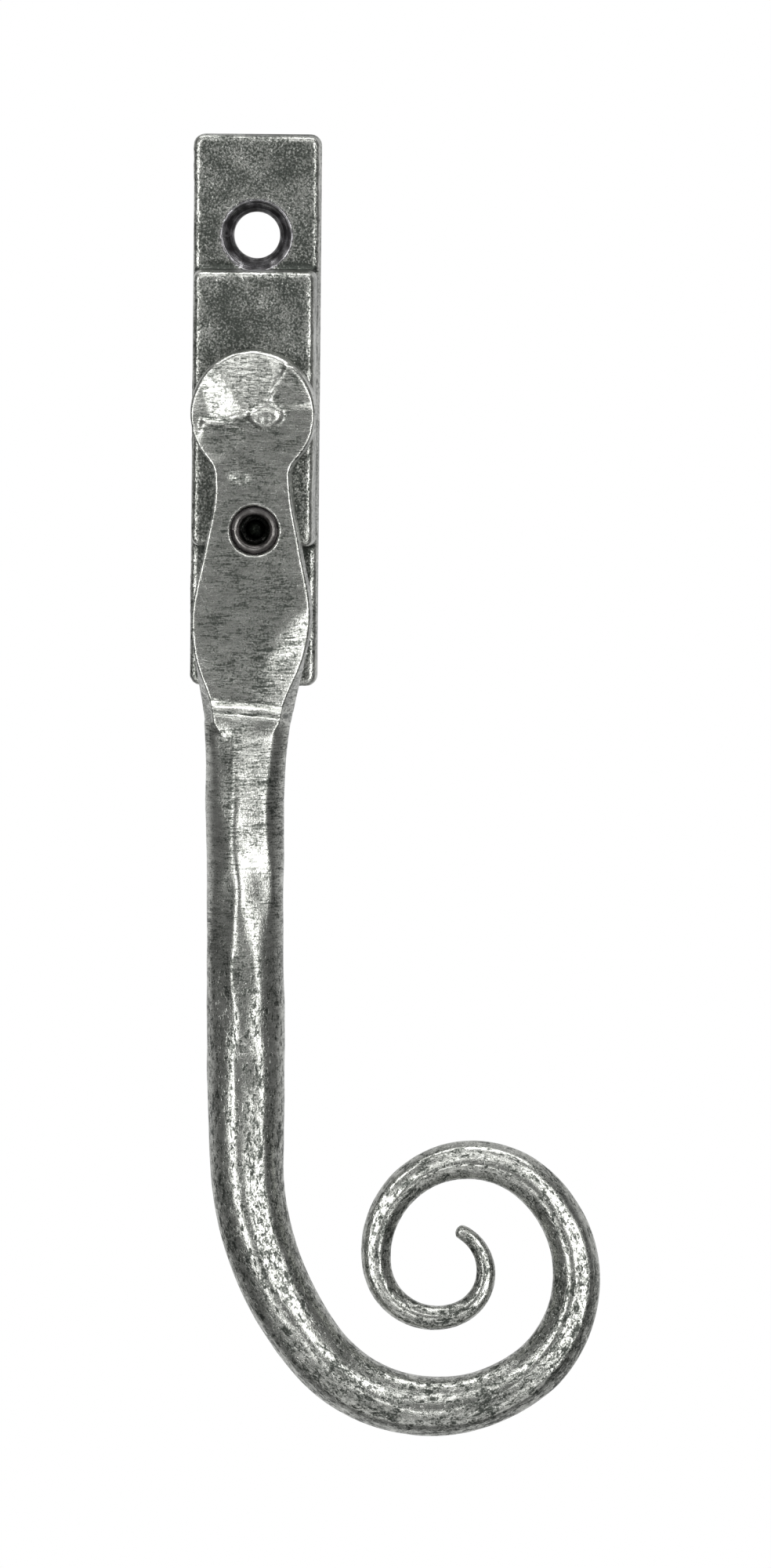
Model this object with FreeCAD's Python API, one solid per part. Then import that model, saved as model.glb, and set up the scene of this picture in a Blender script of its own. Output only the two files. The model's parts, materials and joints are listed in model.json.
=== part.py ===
import FreeCAD, Part
import math
import os

# Locking slim espagnolette window handle: a cast plate with a raised housing, and a forged lever with a
# curled tail that turns a square spindle. Millimetres. Z is up, X is to the right seen from the room, and Y
# points into the window, so the handle stands out along -Y. The origin is on the spindle's axis, in the
# plane of the mounting face. The lever hangs straight down, which is the closed position.

# Plate
PLATE_WIDTH = 15.7
PLATE_HEIGHT = 67.8
PLATE_THICKNESS = 4.0
PLATE_CORNER = 1.1
PLATE_EDGE = 0.8

# Fixing holes
FIXING_SPACING = 43.0
FIXING_HOLE_D = 5.7
COUNTERSINK_D = 8.9

# Raised housing on the plate
HOUSING_TOP = 17.5
HOUSING_BOTTOM = -16.3
HOUSING_HALF_WIDTH = 7.5
HOUSING_FRONT = -11.0
HOUSING_ROOT = -1.0
HOUSING_DRAFT = 0.3
HOUSING_CORNER = 0.9
HOUSING_EDGE = 0.6

# Pocket behind the housing, and its cover
COVER_THICKNESS = 1.0
COVER_HALF_WIDTH = 6.6
COVER_HALF_HEIGHT = 16.0
COVER_CORNER = 1.5
COVER_SLIP = 0.05
COVER_HOLE_D = 10.4
POCKET_FLOOR = -8.6
POCKET_HALF_WIDTH = 6.3
POCKET_HALF_HEIGHT = 7.5
SPRING_SEAT_HALF_HEIGHT = 10.2

# Cover screws
COVER_SCREW_Z = 13.2
COVER_SCREW_D = 2.5
COVER_SCREW_HEAD_D = 4.4
COVER_SCREW_LENGTH = 5.0
COVER_SCREW_SLOT = 0.5
COVER_SCREW_SLOT_DEPTH = 0.4

# Spindle
SPINDLE_SQUARE = 7.0
SPINDLE_PROJECTION = 40.0
SPINDLE_CHAMFER = 0.6
JOURNAL_D = 7.0
JOURNAL_CLEARANCE = 0.05
SHOULDER_Y = -7.9
TAIL_SQUARE = 4.9
TAIL_END = -15.4

# Bush, washers, cam and leaf springs
BUSH_OUTER_D = 9.5
DISC_SPRING_D = 11.0
DISC_SPRING_THICKNESS = 0.25
DISC_SPRING_GAP = 0.05
THRUST_WASHER_D = 13.6
THRUST_WASHER_THICKNESS = 0.25
CAM_ACROSS_FLATS = 8.6
CAM_CORNER_R = 5.3
CAM_FRONT = -6.4
CAM_BACK = -3.2
LEAF_THICKNESS = 0.5
LEAF_HALF_HEIGHT = 10.0

# Lever: the head, neck and spatula are a flat blade, and the shank and curl are a tapered round bar
LEVER_BACK = -11.3
HEAD_X = 0.15
HEAD_R = 7.8
# height, centre and half width of the blade, from under the head down into the shank
BLADE_STATIONS = [
    (-3.5, 0.30, 6.2),
    (-8.0, 0.30, 5.0),
    (-16.0, 0.30, 5.8),
    (-25.0, 0.25, 7.3),
    (-33.0, 0.00, 6.1),
    (-37.4, -0.20, 5.4),
]
# height and depth of the blade's face, from the top of the head to the lip above the shank
FACE_STATIONS = [(8.0, -16.4), (0.0, -16.7), (-14.0, -17.0), (-26.0, -17.3), (-33.0, -18.2), (-36.6, -19.7)]
BLADE_BACK_BEND_Z = -18.0
BLADE_BACK_END_Y = -12.7
BLADE_STOCK = 30.0

SHANK_Y = -17.5
SHANK_D = 9.65
SHANK_ROOT_X = -0.1
SHANK_ROOT_Y = -15.5
SHANK_ROOT_Z = -33.0
SHANK_ROOT_HALF_WIDTH = 5.6
SHANK_ROOT_HALF_DEPTH = 2.7
SHANK_ROUND_Z = -47.0
SHANK_X = -0.55
SHANK_LENGTH = 43.6
SHANK_SPANS = 4
SHANK_LEAN_DEG = 1.0
# radius and turn in degrees of each arc of the curl, from the shank to the tip
CURL_ARCS = [(38.0, 39.0), (18.6, 90.5), (15.0, 103.5), (11.5, 135.0), (7.2, 104.0), (5.5, 130.0)]
CURL_STEP_DEG = 45.0
TIP_D = 2.4
TAPER_START = 36.0
TAPER_POWER = 0.85

# Lock screw in the neck
LOCK_X = 0.5
LOCK_Z = -14.3
LOCK_HOLE_D = 5.8
LOCK_HOLE_CHAMFER = 0.3
LOCK_THREAD_D = 5.7
LOCK_BODY_TOP = -15.8
LOCK_BODY_BOTTOM = -13.2
LOCK_DOG_TIP = -11.45
LOCK_DOG_D = 2.4
LOCK_SOCKET = 3.0
LOCK_SOCKET_DEPTH = 1.5
KEEP_HOLE_D = 2.6
KEEP_HOLE_BOTTOM = -8.9

# Cutting solids reach this far past the surface that they cut
CUT_PAST = 1.0
TOLERANCE = 1e-6
PARALLEL = 0.999

FRONT = FreeCAD.Vector(0, -1, 0)
BACK = FreeCAD.Vector(0, 1, 0)


def vec(x, y, z):
    return FreeCAD.Vector(x, y, z)


def box(x_low, x_high, y_low, y_high, z_low, z_high):
    return Part.makeBox(x_high - x_low, y_high - y_low, z_high - z_low, vec(x_low, y_low, z_low))


def rod(diameter, y_start, y_end, x=0.0, z=0.0):
    """Cylinder along Y between two depths."""
    low = min(y_start, y_end)
    return Part.makeCylinder(diameter / 2, abs(y_end - y_start), vec(x, low, z), BACK)


def cone(start_d, y_start, end_d, y_end, x=0.0, z=0.0):
    """Cone along Y, from the diameter at one depth to the diameter at the other."""
    direction = BACK if y_end > y_start else FRONT
    return Part.makeCone(start_d / 2, end_d / 2, abs(y_end - y_start), vec(x, y_start, z), direction)


def square_bar(across, y_low, y_high):
    return box(-across / 2, across / 2, y_low, y_high, -across / 2, across / 2)


def edges_along(shape, direction):
    """Straight edges that run along a direction."""
    found = []
    for edge in shape.Edges:
        run = edge.Vertexes[-1].Point - edge.Vertexes[0].Point
        if run.Length > TOLERANCE and abs(run.normalize().dot(direction)) > PARALLEL:
            found.append(edge)
    return found


def edges_at_depth(shape, y):
    """Edges that lie wholly in the plane at depth y."""
    return [e for e in shape.Edges if all(abs(v.Y - y) < TOLERANCE for v in e.Vertexes)]


def rounded_slab(x_half, z_low, z_high, y_low, y_high, corner):
    slab = box(-x_half, x_half, y_low, y_high, z_low, z_high)
    return slab.makeFillet(corner, edges_along(slab, BACK))


def make_plate():
    half = PLATE_HEIGHT / 2
    plate = rounded_slab(PLATE_WIDTH / 2, -half, half, -PLATE_THICKNESS, 0, PLATE_CORNER)
    return plate.makeFillet(PLATE_EDGE, edges_at_depth(plate, -PLATE_THICKNESS))


def make_raised_block():
    """The raised housing: its walls lean in a little towards the front."""
    def frame_wire(inset, y):
        x = HOUSING_HALF_WIDTH - inset
        top = HOUSING_TOP - inset
        bottom = HOUSING_BOTTOM + inset
        corners = [vec(-x, y, bottom), vec(x, y, bottom), vec(x, y, top), vec(-x, y, top)]
        return Part.makePolygon(corners + corners[:1])

    block = Part.makeLoft([frame_wire(0, HOUSING_ROOT), frame_wire(HOUSING_DRAFT, HOUSING_FRONT)], True, True)
    uprights = [e for e in block.Edges if abs(e.Vertexes[0].Y - e.Vertexes[-1].Y) > TOLERANCE]
    block = block.makeFillet(HOUSING_CORNER, uprights)
    return block.makeFillet(HOUSING_EDGE, edges_at_depth(block, HOUSING_FRONT))


def make_base_housing():
    body = make_plate().fuse(make_raised_block())
    for z in (FIXING_SPACING / 2, -FIXING_SPACING / 2):
        sink_depth = (COUNTERSINK_D - FIXING_HOLE_D) / 2
        body = body.cut(rod(FIXING_HOLE_D, CUT_PAST, -PLATE_THICKNESS - CUT_PAST, z=z))
        body = body.cut(cone(FIXING_HOLE_D, -PLATE_THICKNESS + sink_depth, COUNTERSINK_D, -PLATE_THICKNESS, z=z))
        body = body.cut(rod(COUNTERSINK_D, -PLATE_THICKNESS, HOUSING_FRONT, z=z))
    half = COVER_HALF_HEIGHT
    body = body.cut(rounded_slab(COVER_HALF_WIDTH, -half, half, -COVER_THICKNESS, CUT_PAST, COVER_CORNER))
    wide = box(-POCKET_HALF_WIDTH, POCKET_HALF_WIDTH, POCKET_FLOOR, 0, -POCKET_HALF_HEIGHT, POCKET_HALF_HEIGHT)
    seat_x = CAM_ACROSS_FLATS / 2 + LEAF_THICKNESS
    seat_z = SPRING_SEAT_HALF_HEIGHT
    body = body.cut(wide).cut(box(-seat_x, seat_x, POCKET_FLOOR, 0, -seat_z, seat_z))
    body = body.cut(rod(BUSH_OUTER_D, 0, HOUSING_FRONT - CUT_PAST))
    body = body.cut(rod(KEEP_HOLE_D, KEEP_HOLE_BOTTOM, HOUSING_FRONT - CUT_PAST, LOCK_X, LOCK_Z))
    for z in (COVER_SCREW_Z, -COVER_SCREW_Z):
        body = body.cut(rod(COVER_SCREW_D, CUT_PAST, -COVER_SCREW_LENGTH, z=z))
    return body.removeSplitter()


def make_back_plate():
    half_x = COVER_HALF_WIDTH - COVER_SLIP
    half_z = COVER_HALF_HEIGHT - COVER_SLIP
    cover = rounded_slab(half_x, -half_z, half_z, -COVER_THICKNESS, 0, COVER_CORNER)
    cover = cover.cut(rod(COVER_HOLE_D, CUT_PAST, -COVER_THICKNESS - CUT_PAST))
    for z in (COVER_SCREW_Z, -COVER_SCREW_Z):
        cover = cover.cut(rod(COVER_SCREW_D, CUT_PAST, -COVER_THICKNESS - CUT_PAST, z=z)).cut(cover_screw_head(z))
    return cover


def cover_screw_head(z):
    head_depth = (COVER_SCREW_HEAD_D - COVER_SCREW_D) / 2
    return cone(COVER_SCREW_HEAD_D, 0, COVER_SCREW_D, -head_depth, z=z)


def make_cover_screws():
    screws = []
    for z in (COVER_SCREW_Z, -COVER_SCREW_Z):
        screw = rod(COVER_SCREW_D, -COVER_SCREW_SLOT_DEPTH, -COVER_SCREW_LENGTH, z=z).fuse(cover_screw_head(z))
        slot_x = COVER_SCREW_HEAD_D
        slot_z = COVER_SCREW_SLOT / 2
        slot = box(-slot_x, slot_x, -COVER_SCREW_SLOT_DEPTH, CUT_PAST, z - slot_z, z + slot_z)
        screws.append(screw.cut(slot))
    return Part.makeCompound(screws)


def make_spindle():
    shaft = square_bar(SPINDLE_SQUARE, SHOULDER_Y, SPINDLE_PROJECTION)
    shaft = shaft.makeChamfer(SPINDLE_CHAMFER, edges_at_depth(shaft, SPINDLE_PROJECTION))
    return shaft.fuse(rod(JOURNAL_D, SHOULDER_Y, LEVER_BACK)).fuse(square_bar(TAIL_SQUARE, TAIL_END, LEVER_BACK))


def make_spindle_bush():
    bore = JOURNAL_D + 2 * JOURNAL_CLEARANCE
    return rod(BUSH_OUTER_D, POCKET_FLOOR, HOUSING_FRONT).cut(rod(bore, 0, HOUSING_FRONT - CUT_PAST))


def make_disc_spring():
    """Dished washer: its rim bears on the pocket's floor and its bore on the spindle's shoulder."""
    bore_r = JOURNAL_D / 2 + JOURNAL_CLEARANCE
    rim_r = DISC_SPRING_D / 2
    high = SHOULDER_Y
    low = POCKET_FLOOR + DISC_SPRING_GAP
    section = [
        vec(bore_r, high, 0),
        vec(bore_r, high - DISC_SPRING_THICKNESS, 0),
        vec(rim_r, low, 0),
        vec(rim_r, low + DISC_SPRING_THICKNESS, 0),
    ]
    face = Part.Face(Part.makePolygon(section + section[:1]))
    return face.revolve(vec(0, 0, 0), BACK, 360)


def make_thrust_washer():
    bore = JOURNAL_D + 2 * JOURNAL_CLEARANCE
    front = LEVER_BACK
    back = LEVER_BACK + THRUST_WASHER_THICKNESS
    return rod(THRUST_WASHER_D, back, front).cut(rod(bore, back + CUT_PAST, front - CUT_PAST))


def make_indexing_cam():
    square = square_bar(CAM_ACROSS_FLATS, CAM_FRONT, CAM_BACK)
    bore = square_bar(SPINDLE_SQUARE, CAM_FRONT - CUT_PAST, CAM_BACK + CUT_PAST)
    return square.common(rod(2 * CAM_CORNER_R, CAM_FRONT, CAM_BACK)).cut(bore)


def make_detent_spring(side):
    inner = CAM_ACROSS_FLATS / 2
    xs = sorted((side * inner, side * (inner + LEAF_THICKNESS)))
    return box(xs[0], xs[1], CAM_FRONT, CAM_BACK, -LEAF_HALF_HEIGHT, LEAF_HALF_HEIGHT)


def spline(points):
    curve = Part.BSplineCurve()
    curve.interpolate(points)
    return curve.toShape()


def make_blade():
    """Head, neck and spatula: the outline seen from the front, cut to the profile seen from the side."""
    left = [vec(x - half, 0, z) for z, x, half in BLADE_STATIONS]
    right = [vec(x + half, 0, z) for z, x, half in BLADE_STATIONS]
    sides = [spline(left), Part.makeLine(left[-1], right[-1]), spline(right), Part.makeLine(right[0], left[0])]
    strip = Part.Face(Part.Wire(sides)).extrude(FRONT * BLADE_STOCK)
    head = Part.makeCylinder(HEAD_R, BLADE_STOCK, vec(HEAD_X, 0, 0), FRONT)

    face_line = [vec(0, y, z) for z, y in FACE_STATIONS]
    top = face_line[0].z
    lip = face_line[-1]
    back_line = [
        vec(0, BLADE_BACK_END_Y, BLADE_STATIONS[-1][0]),
        vec(0, LEVER_BACK, BLADE_BACK_BEND_Z),
        vec(0, LEVER_BACK, top),
    ]
    edges = [spline(face_line)]
    corners = [lip, vec(0, lip.y, BLADE_STATIONS[-1][0])] + back_line + [face_line[0]]
    edges += [Part.makeLine(a, b) for a, b in zip(corners, corners[1:])]
    profile = Part.Face(Part.Wire(edges))
    profile.translate(vec(-BLADE_STOCK / 2, 0, 0))
    return strip.fuse(head).common(profile.extrude(vec(BLADE_STOCK, 0, 0)))


def bar_diameter(distance, length):
    """The bar is plain down the shank, then tapers to the tip."""
    along = min(1.0, max(0.0, (distance - TAPER_START) / (length - TAPER_START)))
    return TIP_D + (SHANK_D - TIP_D) * (1 - along) ** TAPER_POWER


def across_bar(x, y, z, heading, section):
    """Places a closed edge, drawn about the origin in XY, across the bar at a point of its centreline."""
    across = vec(math.cos(heading), 0, math.sin(heading))
    along = vec(math.sin(heading), 0, -math.cos(heading))
    wire = Part.Wire(section)
    wire.Placement = FreeCAD.Placement(FreeCAD.Matrix(
        across.x, 0, along.x, x,
        0, 1, 0, y,
        across.z, 0, along.z, z,
        0, 0, 0, 1,
    ))
    return wire


def on_centreline(x, z):
    return vec(x, SHANK_Y, z)


def make_bar():
    """Round bar swept down the shank and round the curl, thinning as it goes."""
    x = SHANK_X
    z = SHANK_ROUND_Z
    heading = math.radians(SHANK_LEAN_DEG)
    length = SHANK_LENGTH + sum(radius * math.radians(turn) for radius, turn in CURL_ARCS)
    spine = []
    stations = [(x, z, heading, 0.0)]
    distance = 0.0
    for _ in range(SHANK_SPANS):
        span = SHANK_LENGTH / SHANK_SPANS
        end_x = x + span * math.sin(heading)
        end_z = z - span * math.cos(heading)
        spine.append(Part.makeLine(on_centreline(x, z), on_centreline(end_x, end_z)))
        x = end_x
        z = end_z
        distance += span
        stations.append((x, z, heading, distance))
    for radius, turn_deg in CURL_ARCS:
        steps = math.ceil(turn_deg / CURL_STEP_DEG)
        step = math.radians(turn_deg / steps)
        for _ in range(steps):
            points = [on_centreline(x, z)]
            for turn in (step / 2, step):
                chord = 2 * radius * math.sin(turn / 2)
                direction = heading + turn / 2
                points.append(on_centreline(x + chord * math.sin(direction), z - chord * math.cos(direction)))
            spine.append(Part.Arc(*points).toShape())
            x = points[-1].x
            z = points[-1].z
            heading += step
            distance += radius * step
            stations.append((x, z, heading, distance))
    sections = []
    for x, z, heading, distance in stations:
        circle = Part.makeCircle(bar_diameter(distance, length) / 2, vec(0, 0, 0), vec(0, 0, 1))
        sections.append(across_bar(x, SHANK_Y, z, heading, circle))
    bar = Part.Wire(spine).makePipeShell(sections, True, False)
    return bar.fuse(make_shank_root(sections[0]))


def make_shank_root(round_section):
    """The shank's wide upper end, an ellipse inside the blade that becomes the round bar."""
    ellipse = Part.Ellipse(vec(0, 0, 0), SHANK_ROOT_HALF_WIDTH, SHANK_ROOT_HALF_DEPTH).toShape()
    wide_section = across_bar(SHANK_ROOT_X, SHANK_ROOT_Y, SHANK_ROOT_Z, 0.0, ellipse)
    return Part.makeLoft([wide_section, round_section], True, True)


def make_lever():
    lever = make_blade().fuse(make_bar())
    lever = lever.cut(square_bar(TAIL_SQUARE, TAIL_END, LEVER_BACK + CUT_PAST))
    lever = lever.cut(rod(LOCK_HOLE_D, LEVER_BACK + CUT_PAST, -BLADE_STOCK, LOCK_X, LOCK_Z))
    return lever


def make_lock_screw():
    screw = rod(LOCK_THREAD_D, LOCK_BODY_TOP, LOCK_BODY_BOTTOM, LOCK_X, LOCK_Z)
    rims = edges_at_depth(screw, LOCK_BODY_TOP) + edges_at_depth(screw, LOCK_BODY_BOTTOM)
    screw = screw.makeChamfer(LOCK_HOLE_CHAMFER, rims)
    screw = screw.fuse(rod(LOCK_DOG_D, LOCK_BODY_BOTTOM, LOCK_DOG_TIP, LOCK_X, LOCK_Z))
    corner_r = LOCK_SOCKET / 2 / math.cos(math.radians(30))
    corners = []
    for i in range(7):
        angle = math.radians(60 * i)
        corners.append(vec(LOCK_X + corner_r * math.cos(angle), LOCK_BODY_TOP, LOCK_Z + corner_r * math.sin(angle)))
    socket = Part.Face(Part.makePolygon(corners)).extrude(BACK * LOCK_SOCKET_DEPTH)
    return screw.cut(socket)


NODES = {
    "base_housing": make_base_housing,
    "back_plate": make_back_plate,
    "back_plate_screws": make_cover_screws,
    "spindle_bush": make_spindle_bush,
    "detent_spring_left": lambda: make_detent_spring(-1),
    "detent_spring_right": lambda: make_detent_spring(1),
    "lever": make_lever,
    "spindle": make_spindle,
    "indexing_cam": make_indexing_cam,
    "thrust_washer": make_thrust_washer,
    "disc_spring": make_disc_spring,
    "lock_screw": make_lock_screw,
}

os.makedirs("parts", exist_ok=True)
for name, make in NODES.items():
    shape = make()
    shape.exportStep(f"parts/{name}.step")
    print(f"{name}: {len(shape.Solids)} solids, valid {shape.isValid()}, {shape.Volume:.1f} mm3")
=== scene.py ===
import json
import math

import bmesh
import bpy
import numpy as np
from mathutils import Matrix, Vector


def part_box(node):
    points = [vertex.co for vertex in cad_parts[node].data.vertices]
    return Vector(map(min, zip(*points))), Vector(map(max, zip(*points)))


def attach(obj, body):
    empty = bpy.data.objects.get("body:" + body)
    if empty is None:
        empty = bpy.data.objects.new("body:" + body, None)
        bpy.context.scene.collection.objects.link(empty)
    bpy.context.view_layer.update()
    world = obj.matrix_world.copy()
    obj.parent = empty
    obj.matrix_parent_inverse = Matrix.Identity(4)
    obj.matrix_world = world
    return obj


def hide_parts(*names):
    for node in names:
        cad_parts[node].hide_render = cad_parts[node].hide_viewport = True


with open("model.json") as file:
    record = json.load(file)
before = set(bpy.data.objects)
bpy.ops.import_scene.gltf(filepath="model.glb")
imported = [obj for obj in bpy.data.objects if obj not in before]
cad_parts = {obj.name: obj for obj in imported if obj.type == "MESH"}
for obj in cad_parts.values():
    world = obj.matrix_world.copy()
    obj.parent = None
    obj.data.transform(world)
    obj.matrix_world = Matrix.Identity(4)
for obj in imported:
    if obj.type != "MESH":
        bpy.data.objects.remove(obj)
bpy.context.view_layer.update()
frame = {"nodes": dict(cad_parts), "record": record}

# Locking espagnolette window handle: forged curled lever on a cast plate. Meshes are made in millimetres,
# in the frame of the CAD model, and scaled to metres at the end. The handle stands out along -Y.
METRES = 0.001


def node_box(name):
    """Lowest and highest corner of a CAD node, in millimetres."""
    low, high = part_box(name)
    return np.array(low) / METRES, np.array(high) / METRES


HOUSING_LOW, HOUSING_HIGH = node_box("base_housing")
COVER_LOW, COVER_HIGH = node_box("back_plate")
SCREW_LOW, SCREW_HIGH = node_box("lock_screw")
MOUNTS = {m["name"]: m for m in frame["record"]["mounts"]}
FIXING = MOUNTS["fixing_holes"]["dims"]


# ---------------------------------------------------------------- numbers and noise

NOISE_CELLS = 32


class Noise:
    """Smooth noise from a fixed table of random numbers, between about -1 and 1."""

    def __init__(self, seed):
        self.table = np.random.RandomState(seed).uniform(-1, 1, (NOISE_CELLS,) * 3)

    def __call__(self, *axes):
        points = np.stack(np.broadcast_arrays(*axes), -1).astype(float)
        cell = np.floor(points).astype(int)
        part = points - cell
        part = part * part * (3 - 2 * part)
        total = np.zeros(points.shape[:-1])
        for corner in np.ndindex(2, 2, 2):
            index = (cell + corner) % NOISE_CELLS
            weight = np.prod(np.where(corner, part, 1 - part), -1)
            total += weight * self.table[index[..., 0], index[..., 1], index[..., 2]]
        return total


hammer_noise = Noise(3)
wave_noise = Noise(7)
grit_noise = Noise(11)


def smooth_step(low, high, value):
    """0 at low and 1 at high, with no corner at either end."""
    t = np.clip((value - low) / (high - low), 0, 1)
    return t * t * (3 - 2 * t)


def smooth_max(a, b, softness):
    """The larger of two values, rounded where they cross."""
    return (a + b + np.sqrt((a - b) ** 2 + softness ** 2)) / 2


def smooth_min(a, b, softness):
    """The smaller of two values, rounded where they cross."""
    return (a + b - np.sqrt((a - b) ** 2 + softness ** 2)) / 2


def curve_through(points, at):
    """Smooth curve through (position, value) points, read at many positions."""
    xs, ys = np.array(points, float).T
    slope = np.gradient(ys, xs)
    i = np.clip(np.searchsorted(xs, at) - 1, 0, len(xs) - 2)
    width = xs[i + 1] - xs[i]
    t = np.clip((at - xs[i]) / width, 0, 1)
    start = (2 * t ** 3 - 3 * t ** 2 + 1) * ys[i] + (t ** 3 - 2 * t ** 2 + t) * width * slope[i]
    end = (3 * t ** 2 - 2 * t ** 3) * ys[i + 1] + (t ** 3 - t ** 2) * width * slope[i + 1]
    return start + end


def curve_at(points, place):
    """The value of the curve through (position, value) points at one position."""
    return float(curve_through(points, np.array([place]))[0])


# ---------------------------------------------------------------- lever: sizes

HEAD_X = 0.15
HEAD_R = 7.75
FLARE = 0.14
BACK_Y = -11.32
BACK_EDGE = 0.7
FACE_CHAMFER = 0.30
HEAD_BEVEL = 0.55
# above this distance down the outline is the head's disc alone, and below it disc and neck blend
NECK_START = 2.0
NECK_BLEND = 1.1
# neck, spatula and shank root: (distance down from the spindle, reach to the left, reach to the right)
OUTLINE = [
    (3.0, 4.7, 4.8),
    (7.4, 4.5, 4.8),
    (10.0, 4.45, 5.0),
    (16.4, 5.55, 6.15),
    (25.4, 7.15, 7.5),
    (31.0, 6.55, 6.5),
    (36.5, 5.6, 5.3),
    (42.0, 5.15, 4.65),
    (47.0, 5.15, 4.45),
]
# (distance down, depth) of the face as far as the lip, of the shank's front below it, and of the back
FACE = [(-8.0, 16.6), (0.0, 16.8), (8.0, 16.9), (16.0, 17.0), (27.0, 17.2), (34.8, 17.95)]
# lip between the spatula and the shank: its distance down, its rise and the crease below it
LIP = 36.3
LIP_RISE = 1.05
LIP_CREASE = 0.42
LIP_FLARE = 1.1
SHANK_FRONT = [(35.0, 18.8), (37.0, 19.2), (40.0, 20.4), (44.0, 21.7), (47.0, 22.3)]
BACK_SWEEP = [(-8.0, 0.0), (18.0, 0.0), (36.0, 1.2), (47.0, 1.36)]

# bar: its middle's depth, its diameters, and how the shank and the curl's arcs (radius, degrees) run
BAR_Y = -17.5
BAR_D = 9.65
TIP_D = 1.9
TAPER_START = 36.0
TAPER_POWER = 0.85
SHANK_X = -0.35
SHANK_ROUND_Z = -47.0
SHANK_LENGTH = 43.5
SHANK_LEAN = math.radians(0.75)
CURL_ARCS = [(38.0, 39.0), (18.6, 90.5), (15.0, 103.5), (11.5, 135.0), (7.2, 104.0), (5.5, 130.0)]
# hammered flats: (angle from the front and half width in degrees, first and last distance along the bar)
BAR_FLATS = [
    (14.0, 25.0, -14.0, 15.0),
    (3.0, 19.0, 19.0, 25.0),
    (10.0, 17.0, 30.0, 62.0),
    (-31.0, 16.0, -14.0, 4.0),
    (-34.0, 22.0, 8.0, 27.0),
    (14.0, 16.0, 78.0, 100.0),
    (-20.0, 15.0, 88.0, 118.0),
    (-14.0, 17.0, 134.0, 148.0),
]
FLAT_FADE = 9.0

LOCK_X = (SCREW_LOW[0] + SCREW_HIGH[0]) / 2
LOCK_Z = (SCREW_LOW[2] + SCREW_HIGH[2]) / 2
LOCK_HOLE_R = 2.9
LOCK_CHAMFER = 0.3
# width and strength of the painted highlight along the head's upper rim, where the light from above catches
# its rounded edge
CROWN_BAND = 0.7
CROWN_HIGHLIGHT = 0.10
# the blade's grain lies where its points are, and turns lengthwise between two distances down the bar
BLADE_GRAIN_Z = -30
GRAIN_TURN = (58, 78)

# (x, z, half width, half height, how much lighter, darker below zero) of spots on the face and its edges:
# partly rubbed bright wear, partly painted highlights and painted shade
WEAR_AND_LIGHT_SPOTS = [
    (5.9, -13.4, 0.7, 1.5, 0.12),
    (-5.2, -15.0, 0.6, 1.8, 0.09),
    (6.0, -31.8, 0.8, 1.8, 0.06),
    (0.5, -17.9, 1.8, 0.4, 0.06),
    (0.5, -35.8, 5.0, 0.5, 0.10),
    (2.6, -39.2, 1.8, 1.4, 0.08),
    (0.6, -59.0, 2.2, 8.0, 0.06),
    (-4.4, -10.6, 0.5, 0.9, 0.08),
    (-4.2, -49.0, 1.3, 8.0, 0.13),
    (-1.9, -48.5, 0.6, 7.0, -0.12),
    (-0.4, -69.0, 4.0, 5.0, -0.07),
    (1.4, -0.3, 2.2, 1.5, 0.12),
    (-2.1, -0.4, 0.8, 0.3, 0.16),
    (5.2, -0.3, 2.2, 0.14, 0.10),
    (-3.0, -4.6, 0.22, 2.0, 0.07),
    (-1.7, -5.6, 0.20, 1.9, 0.08),
    (4.1, -6.7, 0.8, 0.4, 0.07),
    (-4.4, 2.2, 2.0, 2.2, 0.02),
    (3.2, 4.2, 0.4, 0.8, 0.10),
    (2.5, 2.6, 0.3, 0.8, 0.10),
    (3.2, -0.2, 0.35, 0.8, 0.08),
    (-1.0, 3.4, 4.5, 3.2, -0.04),
]

# points around each ring of the lever: its front, each front chamfer, each side, each back edge, its back
FRONT_STEPS = 64
CHAMFER_STEPS = 3
SIDE_STEPS = 14
BACK_EDGE_STEPS = 4
BACK_STEPS = 24
RING = FRONT_STEPS + 2 * (CHAMFER_STEPS + SIDE_STEPS + BACK_EDGE_STEPS) + BACK_STEPS
EVEN_ANGLES = (np.arange(RING) - FRONT_STEPS / 2) / RING * 2 * math.pi
# distance between rings of the blade and of the bar, and where the blade has turned round below its lip
BLADE_STEP = 0.22
BAR_STEP = 0.42
ROUND_FROM = LIP + 3.6
DENT_DEPTH = 0.10
RIM_BAND = 0.80
# rounded end of the curl: (share of the last ring, reach past it)
TIP_CAP = [(0.97, 0.20), (0.85, 0.42), (0.62, 0.60), (0.33, 0.71), (0.0, 0.75)]


# ---------------------------------------------------------------- lever: shape

def ridge_x(z):
    """Place of the ridge that runs up the head from the spindle's end."""
    return 1.9 + (z - 1.3) * 0.46


def head_facets(x, z):
    """Depth of the head, ground in flats that meet at ridges by the spindle."""
    upper_left = smooth_max(17.3 + 0.27 * x - 0.08 * z, 15.55 + 0.02 * (x + 6) - 0.14 * (z - 2), 0.04)
    top = 17.15 + 0.02 * x - 0.25 * z
    right = 17.1 - 0.02 * x - 0.13 * z
    below = 16.98 + 0.02 * z
    border = z + 0.3 + 0.12 * (x + 3.0)
    inside = smooth_step(-6.6, -4.8, x)
    lower_left = 16.95 + 0.10 * x * smooth_step(-9.0, -3.0, z)
    lower_left = lower_left + 1.5 * inside * smooth_step(-1.7, -0.3, border)
    upper_left = upper_left + 1.3 * inside * smooth_step(-0.5, -1.4, border)
    past_ridge = smooth_step(-0.3, 0.6, x - ridge_x(z)) * smooth_step(0.0, 1.5, z)
    top = top + (right - top) * past_ridge
    dome = smooth_min(smooth_min(upper_left, top, 0.06), below, 0.3)
    return smooth_min(dome, lower_left, 0.08)


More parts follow.
